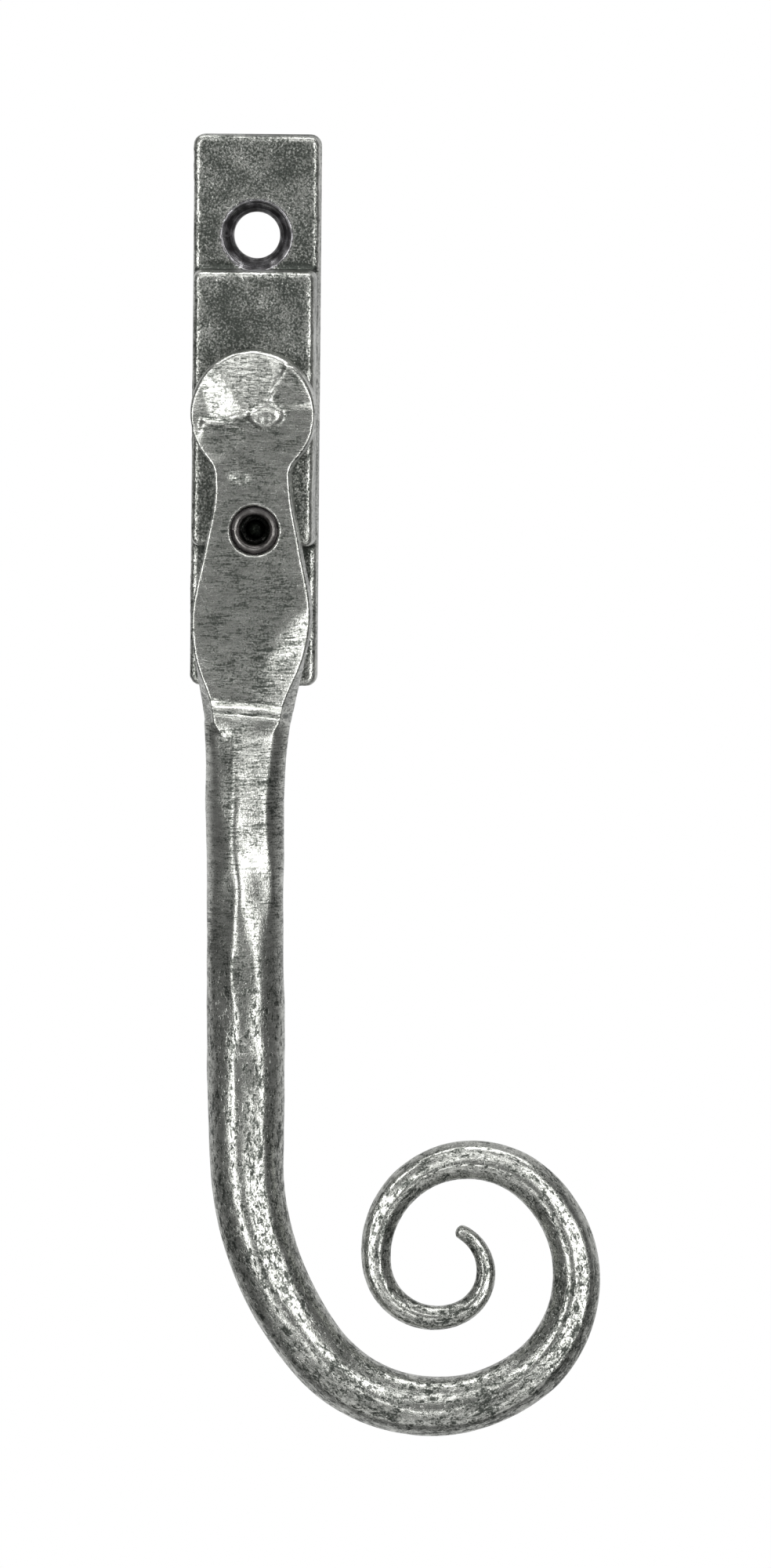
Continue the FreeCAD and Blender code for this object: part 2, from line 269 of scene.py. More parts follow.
def spindle_end(x, z):
    """Hammered end of the spindle: a lumpy button with a tail to its left and a ridge above it."""
    rough = 1 + 0.22 * grit_noise(x * 0.8, z * 0.8, 2.0)
    spread = ((x - 1.7) / (2.1 * rough)) ** 2 + ((z + 0.30 - 0.10 * (x - 1.6)) / (1.30 * rough)) ** 2
    button = np.exp(-spread ** 4)
    tail = np.exp(-(((x + 1.2) / 1.6) ** 4 + ((z + 0.30 - 0.22 * (x + 1.2)) / 0.34) ** 2))
    lumps = 0.20 * grit_noise(x * 1.1, z * 1.1, 8.0)
    ridge = np.exp(-((x - ridge_x(z)) / 0.28) ** 2) * smooth_step(0.9, 1.6, z) * smooth_step(5.0, 3.4, z)
    return button * (0.56 + lumps - 0.10 * z - 0.05 * x) + 0.30 * tail + 0.20 * ridge


def face_depth(x, down):
    """How far the face stands off the frame, at a place across it and a distance down from the spindle."""
    z = -down
    flat = curve_through(FACE, down) - 0.003 * x ** 2
    on_head = smooth_step(-9.5, -5.0, z)
    depth = flat + (head_facets(x, z) - flat) * on_head

    # forged hollow towards the right edge of the spatula
    slope = np.log1p(np.exp((x - 0.9) * 2.0)) / 2.0
    upper_end = smooth_step(29.2, 34.2, down + 0.85 * x)
    lower_end = smooth_step(38.0, 35.0, down)
    depth = depth - 0.128 * slope * upper_end * lower_end
    depth = depth + 0.08 * hammer_noise(x * 0.16 + 3, down * 0.2, 0.5)
    depth = depth + 0.030 * hammer_noise(x * 0.45, down * 0.6, 4.2)
    depth = depth + 0.005 * grit_noise(x * 0.7, down * 2.4, 4.2)
    pit = np.exp(-(((x + 1.35) / 1.0) ** 2 + ((down - 8.05 - 0.1 * x) / 0.45) ** 2))
    return depth + spindle_end(x, z) - 0.36 * pit


def front_depth(x, down):
    """The face above the lip, and the shank's front below it."""
    lip = LIP + 0.10 * x + 0.15 * hammer_noise(x * 0.5, 9.0, 1.0)
    face = face_depth(x, np.minimum(down, lip))
    rise = face + LIP_RISE * smooth_step(lip - 1.25, lip + 0.1, down)
    shank = curve_through(SHANK_FRONT, down) + 0.10 * hammer_noise(x * 0.45, down * 0.4, 6.0)
    below = smooth_step(lip, lip + 0.45, down)
    crease = LIP_CREASE * np.exp(-((down - lip - 0.30) / 0.22) ** 2)
    return rise * (1 - below) + shank * below - crease


def edge_reach(side, down, inset):
    """Distance from the middle to the lever's edge, less an inset, on the left (-1) or right (1)."""
    column = 1 if side < 0 else 2
    radius = HEAD_R - inset
    disc = np.sqrt(np.maximum(0.0, radius ** 2 - down ** 2)) + side * HEAD_X
    if down < NECK_START:
        return disc
    neck = curve_through([(p[0], p[column]) for p in OUTLINE], np.array([down])) - inset
    return smooth_max(disc, neck, NECK_BLEND)


def side_profile(face_y, back_y, flare, bevel, limit):
    """(inset, y) from the face's edge to the back, cut short above a limit by the head's round top."""
    turn = np.linspace(0, math.pi / 2, CHAMFER_STEPS + 1)
    inset = flare + bevel * (1 - np.sin(turn))
    y = face_y + bevel * (1 - np.cos(turn))
    share = np.arange(1, SIDE_STEPS + 1) / SIDE_STEPS
    wall_y = face_y + bevel + (back_y - BACK_EDGE - face_y - bevel) * share
    turn = np.linspace(0, math.pi / 2, BACK_EDGE_STEPS + 1)[1:]
    inset = np.concatenate([inset, flare * (1 - share), BACK_EDGE * (1 - np.cos(turn))])
    y = np.concatenate([y, wall_y, back_y - BACK_EDGE + BACK_EDGE * np.sin(turn)])
    first_back = CHAMFER_STEPS + 1 + SIDE_STEPS
    level = np.interp(limit, inset[:first_back][::-1], y[:first_back][::-1])
    y[:first_back] = np.maximum(y[:first_back], level)
    return np.minimum(inset, limit), y


def blade_ring(down):
    """One ring of the blade as points (x, y): front from left to right, right side, back, left side."""
    limit = HEAD_R + min(down, 0.0)
    flare = FLARE + LIP_FLARE * float(smooth_step(29.0, LIP, down))
    bevel = FACE_CHAMFER + (HEAD_BEVEL - FACE_CHAMFER) * float(smooth_step(1.0, -4.0, down))
    back_y = BACK_Y - curve_at(BACK_SWEEP, down)
    sides = {}
    for side in (-1, 1):
        corner = side * float(edge_reach(side, down, np.array([min(limit, flare + bevel)]))[0])
        face_y = -float(front_depth(np.array([corner]), np.array([down]))[0])
        inset, y = side_profile(face_y, back_y, flare, bevel, limit)
        sides[side] = np.stack([side * edge_reach(side, down, inset), y], 1)
    front_x = np.linspace(sides[-1][0, 0], sides[1][0, 0], FRONT_STEPS + 1)
    front_y = -front_depth(front_x, np.full(len(front_x), down))
    if limit < flare + bevel:
        front_y = np.linspace(sides[-1][0, 1], sides[1][0, 1], FRONT_STEPS + 1)
    right = sides[1][1:]
    left = sides[-1][1:][::-1]
    back_x = np.linspace(right[-1, 0], left[0, 0], BACK_STEPS + 1)[1:-1]
    hollow = np.sin(np.linspace(0, math.pi, BACK_STEPS + 1))[1:-1]
    back = np.stack([back_x, back_y + 0.05 * hollow * hammer_noise(back_x * 0.3, down * 0.25, 12.0)], 1)
    return np.concatenate([np.stack([front_x, front_y], 1), right, back, left])


def flats_swell(angle, along):
    """Share by which hammered flats draw the bar's surface in."""
    swell = np.ones_like(angle)
    for centre, half, first, last in BAR_FLATS:
        share = smooth_step(first - FLAT_FADE / 2, first + FLAT_FADE / 2, along)
        share = share * smooth_step(last + FLAT_FADE / 2, last - FLAT_FADE / 2, along)
        wander = math.radians(centre) + 0.13 * wave_noise(along * 0.06, centre, 0.0)
        wander = wander + 0.10 * wave_noise(along * 0.19, centre, 4.0)
        half = half * (1 + 0.25 * wave_noise(along * 0.13, centre, 8.0))
        turn = (angle - wander + math.pi) % (2 * math.pi) - math.pi
        chord = math.cos(math.radians(half)) / np.cos(np.clip(turn, -1.2, 1.2))
        flattened = smooth_min(swell, chord, 0.03) * share + swell * (1 - share)
        swell = np.where(np.abs(turn) < 1.2, flattened, swell)
    return swell


def bar_ring(angle, along, half_width, half_depth):
    """One ring of the bar as points (across, out of plane), with hammered flats, dents and grit."""
    size = half_width / (BAR_D / 2)
    ring_x = np.cos(angle) * size
    ring_y = np.sin(angle) * size
    slim = smooth_step(1.0, 0.8, size)
    facets = np.cos(7 * angle + 2 * wave_noise(along * 0.04, 1.0, 2.0))
    swell = flats_swell(angle, along) + 0.016 * slim * facets
    dents = 0.11 * hammer_noise(ring_x * 1.3, ring_y * 1.3, along * 0.15)
    dents = dents + 0.035 * hammer_noise(ring_x * 2.0, ring_y * 2.0, along * 0.40 + 7)
    dents = dents + 0.035 * hammer_noise(ring_x * 3.2, ring_y * 3.2, along * 0.30)
    dents = dents + 0.006 * grit_noise(ring_x * 7.0, ring_y * 7.0, along * 0.8)
    dents = dents + 0.003 * grit_noise(ring_x * 12.0, ring_y * 12.0, along * 1.2 + 5)
    swell = swell + (dents - DENT_DEPTH) * (0.4 + 0.6 * size) / half_width
    return np.stack([half_width * np.sin(angle) * swell, -half_depth * np.cos(angle) * swell], 1)


def bar_diameter(distance, length):
    """Diameter of the bar, which tapers along the curl."""
    along = min(1.0, max(0.0, (distance - TAPER_START) / (length - TAPER_START)))
    return TIP_D + (BAR_D - TIP_D) * (1 - along) ** TAPER_POWER


def blade_levels():
    """Distances down from the spindle of the blade's rings, closer together round the head's top."""
    # the first ring stays just off the very top, where it would have no width
    turn = np.radians(np.arange(-90.0, -8.0, 1.6))
    top = HEAD_R * np.sin(turn) * 0.9999
    return np.concatenate([top, np.arange(top[-1] + BLADE_STEP, -SHANK_ROUND_Z, BLADE_STEP)])


def bar_stations():
    """(x, z, heading, distance) along the shank and curl at even steps."""
    x, z, heading, distance = SHANK_X, SHANK_ROUND_Z, SHANK_LEAN, 0.0
    stations = [(x, z, heading, distance)]
    for radius, turn in [(None, SHANK_LENGTH)] + CURL_ARCS:
        length = turn if radius is None else radius * math.radians(turn)
        steps = math.ceil(length / BAR_STEP)
        bend = 0.0 if radius is None else math.radians(turn) / steps
        for _ in range(steps):
            heading += bend / 2
            x += length / steps * math.sin(heading)
            z -= length / steps * math.cos(heading)
            heading += bend / 2
            distance += length / steps
            stations.append((x, z, heading, distance))
    return stations


def outline_reach(down):
    """How far the outline reaches to the left and to the right."""
    return [curve_at([(row[0], row[column]) for row in OUTLINE], down) for column in (1, 2)]


def shank_root_ring(blade, down):
    """Round section the blade turns into below its lip, its points beside those of the blade's ring."""
    left, right = outline_reach(down)
    front = curve_at(SHANK_FRONT, down)
    back = -BACK_Y + curve_at(BACK_SWEEP, down)
    half_width = (left + right) / 2
    half_depth = (front - back) / 2
    middle = np.array([(right - left) / 2, -(front + back) / 2])
    away = blade - middle
    beside = np.unwrap(np.arctan2(away[:, 0] / half_width, -away[:, 1] / half_depth))
    angle = beside + (EVEN_ANGLES - beside) * smooth_step(ROUND_FROM + 2.0, -SHANK_ROUND_Z, down)
    return bar_ring(angle, down + SHANK_ROUND_Z, half_width, half_depth) + middle


def kept_width(ring, down):
    """The ring stretched sideways so that it reaches the outline on both sides."""
    left, right = outline_reach(down)
    stretch = np.where(ring[:, 0] > 0, right / ring[:, 0].max(), -left / ring[:, 0].min())
    return ring * np.stack([stretch, np.ones(RING)], 1)


def rim_share(ring):
    """How close each point of the face is to the face's edges, from 0 to 1."""
    front = ring[:FRONT_STEPS + 1, 0]
    share = np.zeros(RING)
    share[:FRONT_STEPS + 1] = np.exp(-(np.minimum(front - front[0], front[-1] - front) / RIM_BAND) ** 2)
    return share


def lever_rings():
    """Ring points, their places on the lever if it were straight, for the grain, and rim shares."""
    rings = []
    grain = []
    rim = []
    for down in blade_levels():
        ring = blade_ring(down)
        round_share = float(smooth_step(LIP + 0.2, ROUND_FROM, down))
        if round_share > 0:
            ring = ring * (1 - round_share) + shank_root_ring(ring, down) * round_share
            ring = kept_width(ring, down)
        rim.append(rim_share(ring) * (down < LIP))
        rings.append(np.stack([ring[:, 0], ring[:, 1], np.full(RING, -down)], 1))
        grain.append(np.stack([ring[:, 0], ring[:, 1] - BAR_Y, np.full(RING, down)], 1))
    stations = bar_stations()
    length = stations[-1][3]
    for x, z, heading, distance in stations:
        half = bar_diameter(distance, length) / 2
        ring = bar_ring(EVEN_ANGLES, distance, half, half)
        across = np.array([math.cos(heading), 0, math.sin(heading)])
        middle = np.array([x, BAR_Y, z])
        rings.append(middle + ring[:, :1] * across + ring[:, 1:] * np.array([0, 1, 0]))
        grain.append(np.stack([ring[:, 0], ring[:, 1], np.full(RING, distance - SHANK_ROUND_Z)], 1))
    along = np.array([math.sin(heading), 0, -math.cos(heading)])
    last = rings[-1]
    for share, reach in TIP_CAP:
        rings.append(middle + (last - middle) * share + along * reach)
        grain.append(grain[-1] + np.array([0, 0, reach]))
    rim.extend([np.zeros(RING)] * (len(rings) - len(rim)))
    return np.array(rings), np.array(grain), np.array(rim)


# ---------------------------------------------------------------- meshes

def add_object(name, data):
    """New object in the scene with a mesh, a light or a camera."""
    made = bpy.data.objects.new(name, data)
    bpy.context.scene.collection.objects.link(made)
    return made


def new_mesh(name, points, faces):
    """New object in the scene with a mesh of the given points and faces."""
    mesh = bpy.data.meshes.new(name)
    mesh.from_pydata(points.tolist(), [], faces)
    mesh.update()
    return add_object(name, mesh)


def mesh_from(work, name):
    """New mesh from a bmesh, which is freed."""
    mesh = bpy.data.meshes.new(name)
    work.to_mesh(mesh)
    work.free()
    return mesh


def ring_faces(count, around):
    """Faces that join rings of points, each to the next."""
    faces = []
    for ring in range(count - 1):
        for k in range(around):
            a = ring * around + k
            b = ring * around + (k + 1) % around
            faces.append((a, a + around, b + around, b))
    return faces


def apply_modifiers(piece):
    """Replaces the piece's mesh by the result of its modifiers."""
    graph = bpy.context.evaluated_depsgraph_get()
    graph.update()
    result = bpy.data.meshes.new_from_object(
        piece.evaluated_get(graph), preserve_all_data_layers=True, depsgraph=graph)
    piece.modifiers.clear()
    old = piece.data
    piece.data = result
    bpy.data.meshes.remove(old)


def cut(piece, cutter):
    """Takes a cutter out of a piece, and deletes the cutter."""
    modifier = piece.modifiers.new("cut", "BOOLEAN")
    modifier.operation = "DIFFERENCE"
    modifier.solver = "EXACT"
    modifier.object = cutter
    apply_modifiers(piece)
    mesh = cutter.data
    bpy.data.objects.remove(cutter)
    bpy.data.meshes.remove(mesh)


def turned(name, profile, x, z, sides=96):
    """Closed solid turned about an axis along Y: profile is (radius, y) from its back to its front."""
    rings = []
    for radius, y in profile:
        angle = np.linspace(0, 2 * math.pi, sides, endpoint=False)
        across = x + radius * np.cos(angle)
        rings.append(np.stack([across, np.full(sides, y), z + radius * np.sin(angle)], 1))
    faces = ring_faces(len(rings), sides)
    faces.append(tuple(range(sides)))
    faces.append(tuple(range((len(rings) - 1) * sides, len(rings) * sides))[::-1])
    piece = new_mesh(name, np.concatenate(rings), faces)
    face_outward(piece.data)
    return piece


def face_outward(mesh):
    """Joins doubled points and turns all faces outward."""
    work = bmesh.new()
    work.from_mesh(mesh)
    bmesh.ops.remove_doubles(work, verts=work.verts, dist=1e-4)
    bmesh.ops.dissolve_degenerate(work, edges=work.edges, dist=1e-5)
    bmesh.ops.recalc_face_normals(work, faces=work.faces)
    work.to_mesh(mesh)
    work.free()
    mesh.update()


def rows_of(items, field, width, kind=np.float32):
    """One row of numbers for each item of a mesh."""
    flat = np.zeros(len(items) * width, kind)
    items.foreach_get(field, flat)
    return flat.reshape(-1, width)


def points_of(mesh):
    """Places of the mesh's points."""
    return rows_of(mesh.vertices, "co", 3).astype(float)


def put_points(mesh, points):
    """Moves the mesh's points to new places."""
    mesh.vertices.foreach_set("co", points.astype(np.float32).ravel())
    mesh.update()


def normals_of(mesh):
    """Directions out of the surface at the mesh's points."""
    return rows_of(mesh.vertex_normals, "vector", 3).astype(float)


def neighbour_mean(values, edges):
    """For each point, the mean of the values of the points that share an edge with it."""
    total = np.zeros_like(values)
    count = np.zeros(len(values))
    for a, b in ((0, 1), (1, 0)):
        np.add.at(total, edges[:, a], values[edges[:, b]])
        np.add.at(count, edges[:, a], 1)
    shape = (-1,) + (1,) * (values.ndim - 1)
    return total / np.maximum(count, 1).reshape(shape)


def add_values(mesh, name, values):
    """Stores a number or a vector on each point of a mesh, for its material."""
    kind = "FLOAT" if values.ndim == 1 else "FLOAT_VECTOR"
    old = mesh.attributes.get(name)
    if old:
        mesh.attributes.remove(old)
    attribute = mesh.attributes.new(name, kind, "POINT")
    field = "value" if values.ndim == 1 else "vector"
    attribute.data.foreach_set(field, values.astype(np.float32).ravel())


def edge_wear(mesh, reach=3):
    """How far each point stands out from its neighbours: high on edges and ridges, low in creases."""
    points = points_of(mesh)
    edges = rows_of(mesh.edges, "vertices", 2, np.int32)
    smooth = points
    for _ in range(reach):
        smooth = neighbour_mean(smooth, edges)
    proud = np.einsum("ij,ij->i", points - smooth, normals_of(mesh))
    for _ in range(2):
        proud = (proud + neighbour_mean(proud, edges)) / 2
    return proud


def hole_faces(mesh, x, z, radius, back_y):
    """True for each face whose middle lies inside a round hole along Y, in front of a given depth."""
    middles = rows_of(mesh.polygons, "center", 3)
    return (np.hypot(middles[:, 0] - x, middles[:, 2] - z) < radius) & (middles[:, 1] < back_y)


MOUTH_WEAR = 0.13
MOUTH_WIDTH = 0.22


def bright_rim(points, holes, radius, back_y):
    """Wear that rings the mouth of each hole, in front of a given depth."""
    tone_shift = np.zeros(len(points))
    for x, z in holes:
        away = np.hypot(points[:, 0] - x, points[:, 2] - z)
        tone_shift = tone_shift + MOUTH_WEAR * np.exp(-((away - radius) / MOUTH_WIDTH) ** 2)
    return tone_shift * (points[:, 1] < back_y)


def add_turning(mesh, holes):
    """(radius, depth, angle) of each point about its nearest hole, for the tool rings of machined faces."""
    points = points_of(mesh)
    best = np.full(len(points), 1e9)
    turning = np.zeros((len(points), 3))
    for x, z in holes:
        radius = np.hypot(points[:, 0] - x, points[:, 2] - z)
        near = radius < best
        values = np.stack([radius, points[:, 1], np.arctan2(points[:, 2] - z, points[:, 0] - x)], 1)
        turning[near] = values[near]
        best = np.minimum(best, radius)
    add_values(mesh, "turning", turning)


def finish_piece(piece, node, body, materials, face_materials):
    """Scales a piece to metres, dresses it, and puts it in its node's place."""
    piece.data.transform(Matrix.Scale(METRES, 4))
    piece.data.materials.clear()
    for material in materials:
        piece.data.materials.append(material)
    piece.data.polygons.foreach_set("material_index", face_materials.astype(np.int32))
    piece.data.polygons.foreach_set("use_smooth", np.ones(len(piece.data.polygons), bool))
    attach(piece, body)
    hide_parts(node)


# ---------------------------------------------------------------- materials

class Shader:
    """Small helper for writing a material's nodes."""

    def __init__(self, name):
        self.material = bpy.data.materials.new(name)
        self.material.use_nodes = True
        self.tree = self.material.node_tree
        self.main = next(n for n in self.tree.nodes if n.type == "BSDF_PRINCIPLED")

    def node(self, kind, **settings):
        """New node with some of its settings."""
        made = self.tree.nodes.new(kind)
        for key, value in settings.items():
            setattr(made, key, value)
        return made

    def link(self, source, target):
        """Joins an output to an input."""
        self.tree.links.new(source, target)

    def feed(self, socket, value):
        """Gives an input either a link or a number."""
        if isinstance(value, bpy.types.NodeSocket):
            self.link(value, socket)
        else:
            socket.default_value = value

    def attribute(self, name, vector=False):
        """Values stored on the mesh's points."""
        made = self.node("ShaderNodeAttribute", attribute_name=name)
        return made.outputs["Vector" if vector else "Fac"]

    def math(self, operation, a, b):
        """One sum, difference or product."""
        made = self.node("ShaderNodeMath", operation=operation)
        self.feed(made.inputs[0], a)
        self.feed(made.inputs[1], b)
        return made.outputs[0]

    def weigh(self, a, share_a, b, share_b):
        """Sum of two values, each times its share."""
        return self.math("ADD", self.math("MULTIPLY", a, share_a), self.math("MULTIPLY", b, share_b))

    def scaled(self, vector, scale):
        """Places scaled along each axis."""
        made = self.node("ShaderNodeMapping")
        self.link(vector, made.inputs["Vector"])
        made.inputs["Scale"].default_value = scale
        return made.outputs[0]

    def noise(self, vector, scale, detail, roughness, distortion=0.0):
        """Cloudy noise between 0 and 1."""
        made = self.node("ShaderNodeTexNoise")
        self.link(vector, made.inputs["Vector"])
        made.inputs["Scale"].default_value = scale
        made.inputs["Detail"].default_value = detail
        made.inputs["Roughness"].default_value = roughness
        made.inputs["Distortion"].default_value = distortion
        return made.outputs["Fac"]

    def spread(self, value, low, high):
        """0 at low and 1 at high, smoothly."""
        made = self.node("ShaderNodeMapRange", interpolation_type="SMOOTHSTEP")
        self.link(value, made.inputs["Value"])
        made.inputs["From Min"].default_value = low
        made.inputs["From Max"].default_value = high
        return made.outputs[0]

    def mix(self, share, a, b):
        """The value a where share is 0, and b where it is 1."""
        made = self.node("ShaderNodeMix", data_type="FLOAT")
        self.feed(made.inputs[0], share)
        self.feed(made.inputs[2], a)
        self.feed(made.inputs[3], b)
        return made.outputs[0]

    def mix_colour(self, share, a, b):
        """The colour a where share is 0, and b where it is 1."""
        made = self.node("ShaderNodeMix", data_type="RGBA")
        self.feed(made.inputs[0], share)
        self.feed(made.inputs[6], a if isinstance(a, bpy.types.NodeSocket) else (*a, 1.0))
        self.feed(made.inputs[7], b if isinstance(b, bpy.types.NodeSocket) else (*b, 1.0))
        return made.outputs[2]

    def bump(self, height, distance):
        """Fine relief that is too small for the mesh."""
        made = self.node("ShaderNodeBump")
        self.link(height, made.inputs["Height"])
        made.inputs["Distance"].default_value = distance
        made.inputs["Strength"].default_value = 1.0
        self.link(made.outputs[0], self.main.inputs["Normal"])


# pewter: worn metal from bright to dull, patina from thin to thick
BRIGHT = (0.68, 0.688, 0.650)
DULL = (0.37, 0.376, 0.354)
MID = (0.175, 0.183, 0.167)
DARK = (0.060, 0.066, 0.059)


def forged_grain(s, grain, lengthwise):
    """Streaks that cross the blade and run along the bar, and pits."""
    across = s.noise(s.scaled(grain, (0.6, 0.6, 3.8)), 1.0, 3.0, 0.52, 1.2)
    along = s.noise(s.scaled(grain, (2.3, 2.3, 1.0)), 1.0, 3.0, 0.58, 0.8)
    pits = s.spread(s.noise(s.scaled(grain, (1.7, 1.7, 0.9)), 1.0, 3.0, 0.65), 0.38, 0.47)
    return s.mix(lengthwise, across, along), pits


def forged_tone(s, tone, pits, lengthwise):
    """Tone of the forging: with more contrast, a little lighter, and darker in its pits."""
    contrast = s.mix(lengthwise, 1.25, 1.5)
    tone = s.math("ADD", s.math("MULTIPLY", s.math("SUBTRACT", tone, 0.5), contrast), 0.5)
    tone = s.math("ADD", tone, s.mix(lengthwise, 0.046, 0.075))
    pitted = s.math("MULTIPLY", s.math("SUBTRACT", 1.0, pits), s.mix(lengthwise, 0.05, 0.16))
    return s.math("SUBTRACT", tone, pitted)


def patina(s, tone, low, high, mottle):
    """Colours the metal by its tone, from DARK through MID to worn, and gives how worn it is."""
    bright = s.spread(tone, low, high)
    dark_part = s.mix_colour(s.spread(tone, low - 0.09, (low + high) / 2), DARK, MID)
    worn_metal = s.mix_colour(s.spread(mottle, 0.30, 0.66), DULL, BRIGHT)
    s.link(s.mix_colour(bright, dark_part, worn_metal), s.main.inputs["Base Color"])
    s.main.inputs["Metallic"].default_value = 1.0
    return bright


def pewter(name, cast=False):
    """Pewter patina: bright worn metal over blackened hollows, with the grain of a forging or a casting."""
    s = Shader(name)
    grain = s.attribute("grain", vector=True)
    speckle = s.noise(grain, 4.7, 2.0, 0.55)
    blotch = s.noise(grain, 0.22, 3.0, 0.72)
    if cast:
        streak = s.noise(grain, 3.4, 2.0, 0.6)
    else:
        lengthwise = s.attribute("lengthwise")
        streak, pits = forged_grain(s, grain, lengthwise)
    tone = s.weigh(speckle, 0.43, streak, 0.57)
    if not cast:
        tone = forged_tone(s, tone, pits, lengthwise)
    tone = s.math("ADD", tone, s.math("MULTIPLY", s.math("SUBTRACT", blotch, 0.5), 0.44))
    # the stored wear also holds painted highlights and painted shade, which lighten or darken the tone
    tone = s.math("ADD", tone, s.attribute("wear_and_painted_light"))
    low, high = (0.49, 0.69) if cast else (0.42, 0.70)
    mottle = s.noise(s.scaled(grain, (0.5, 0.5, 0.5) if cast else (0.45, 0.45, 1.7)), 1.0, 6.0, 0.75)
    bright = patina(s, tone, low, high, mottle)
    smooth = 0.22 if cast else s.mix(lengthwise, 0.23, 0.21)
    s.link(s.mix(bright, 0.40, smooth), s.main.inputs["Roughness"])
    relief = s.weigh(streak, 0.5, speckle, 0.5)
    if not cast:
        relief = s.math("MULTIPLY", relief, s.mix(lengthwise, 0.85, 0.7))
        relief = s.math("ADD", relief, s.math("MULTIPLY", pits, s.mix(lengthwise, 0.1, 0.35)))
    s.bump(relief, 0.00008 if cast else 0.00005)
    return s.material


def machined(name, dark, light):
    """Cut surface of a countersink or hole, with tool rings."""
    s = Shader(name)
    rings = s.noise(s.scaled(s.attribute("turning", vector=True), (3.5, 3.5, 0.25)), 1.0, 3.0, 0.6)
    stain = s.noise(s.attribute("grain", vector=True), 0.8, 3.0, 0.6)
    bright = s.spread(s.weigh(rings, 0.5, stain, 0.5), 0.42, 0.62)
    s.link(s.mix_colour(bright, dark, light), s.main.inputs["Base Color"])
    s.main.inputs["Metallic"].default_value = 1.0
    s.link(s.mix(bright, 0.34, 0.24), s.main.inputs["Roughness"])
    s.bump(rings, 0.00004)
    return s.material


def object_grain(s, scale):
    """The piece's own coordinates in metres, scaled along each axis."""
    coordinates = s.node("ShaderNodeTexCoord")
    return s.scaled(coordinates.outputs["Object"], scale)


def plain_steel(name, colour, dark, roughness, stretch):
    """Machined or pressed steel: fine drawn lines one way, faint stains and small specks."""
    s = Shader(name)
    lines = s.noise(object_grain(s, stretch), 1.0, 4.0, 0.6)
    stain = s.noise(object_grain(s, (160, 160, 160)), 1.0, 3.0, 0.6)
    specks = s.noise(object_grain(s, (2600, 2600, 2600)), 1.0, 2.0, 0.7)
    tone = s.weigh(lines, 0.5, stain, 0.35)
    tone = s.math("ADD", tone, s.math("MULTIPLY", specks, 0.25))
    bright = s.spread(tone, 0.38, 0.68)
    s.link(s.mix_colour(bright, dark, colour), s.main.inputs["Base Color"])
    s.main.inputs["Metallic"].default_value = 1.0
    s.link(s.mix(bright, roughness + 0.15, roughness), s.main.inputs["Roughness"])
    s.bump(lines, 0.00002)
    return s.material


# ---------------------------------------------------------------- pieces

def lock_hole_cutter():
    """Cutter for the hole in the neck, with a chamfered mouth and room for the screw behind it."""
    deep = BACK_Y + 3
    shallow = -front_depth(np.array([LOCK_X]), np.array([-LOCK_Z]))[0]
    wide = LOCK_HOLE_R + LOCK_CHAMFER
    profile = [
        (LOCK_HOLE_R, deep), (LOCK_HOLE_R, shallow + LOCK_CHAMFER), (wide, shallow),
        (wide + 1.0, shallow - 1.0)]
    return turned("cutter", profile, LOCK_X, LOCK_Z)


def lever_wear_and_light(mesh, points, along, rim):
    """Wear of the lever on ridges, face edges and the hole's mouth, with a painted highlight on the head's
    upper rim and spots painted lighter or darker: rubbed wear, painted highlights and painted shade.
    """
    tone_shift = np.clip(edge_wear(mesh) * 1.5, -0.12, 0.03)
    # spots painted lighter or darker: partly rubbed wear, partly painted highlights and painted shade
    for x, z, wide, tall, strength in WEAR_AND_LIGHT_SPOTS:
        near = ((points[:, 0] - x) / wide) ** 2 + ((points[:, 2] - z) / tall) ** 2
        tone_shift = tone_shift + strength * np.exp(-near) * (points[:, 1] < BACK_Y - 2)
    tone_shift = tone_shift + 0.05 * wave_noise(along * 0.07, 3.5, 1.0)
    tone_shift = tone_shift + rim * (0.08 + 0.13 * wave_noise(points[:, 0] * 0.2, points[:, 2] * 0.22, 2.0))
    # the head's upper rim is painted lighter: a painted highlight
    upper = (points[:, 2] > 1.0) & (points[:, 1] < BACK_Y - 3)
    lit_crown = upper & (np.hypot(points[:, 0], points[:, 2]) > HEAD_R - CROWN_BAND)
    tone_shift = tone_shift + CROWN_HIGHLIGHT * lit_crown
    return tone_shift + bright_rim(points, [(LOCK_X, LOCK_Z)], LOCK_HOLE_R + LOCK_CHAMFER / 2, BACK_Y - 2)


def make_lever():
    """The lever, one forging from its head to the tip of its curl."""
    rings, grain, rim = lever_rings()
    faces = ring_faces(len(rings), RING)
    piece = new_mesh("forged_lever", rings.reshape(-1, 3), faces)
    add_values(piece.data, "grain", grain.reshape(-1, 3))
    add_values(piece.data, "rim", rim.ravel())
    face_outward(piece.data)
    cut(piece, lock_hole_cutter())
    points = points_of(piece.data)
    grain = rows_of(piece.data.attributes["grain"].data, "vector", 3)
    rim = rows_of(piece.data.attributes["rim"].data, "value", 1)[:, 0]
    upper = points[:, 2] > BLADE_GRAIN_Z
    grain[upper] = np.stack([points[:, 0], points[:, 1] - BAR_Y, -points[:, 2]], 1)[upper]
    add_values(piece.data, "grain", grain)
    add_values(piece.data, "lengthwise", smooth_step(*GRAIN_TURN, grain[:, 2]))
    add_values(piece.data, "wear_and_painted_light", lever_wear_and_light(piece.data, points, grain[:, 2], rim))
    add_turning(piece.data, [(LOCK_X, LOCK_Z)])
    in_hole = hole_faces(piece.data, LOCK_X, LOCK_Z, LOCK_HOLE_R + 0.05, BACK_Y)
    hole_metal = machined("machined_hole", (0.10, 0.09, 0.10), (0.42, 0.39, 0.40))
    finish_piece(piece, "lever", "handle", [pewter("pewter_forged"), hole_metal], in_hole)


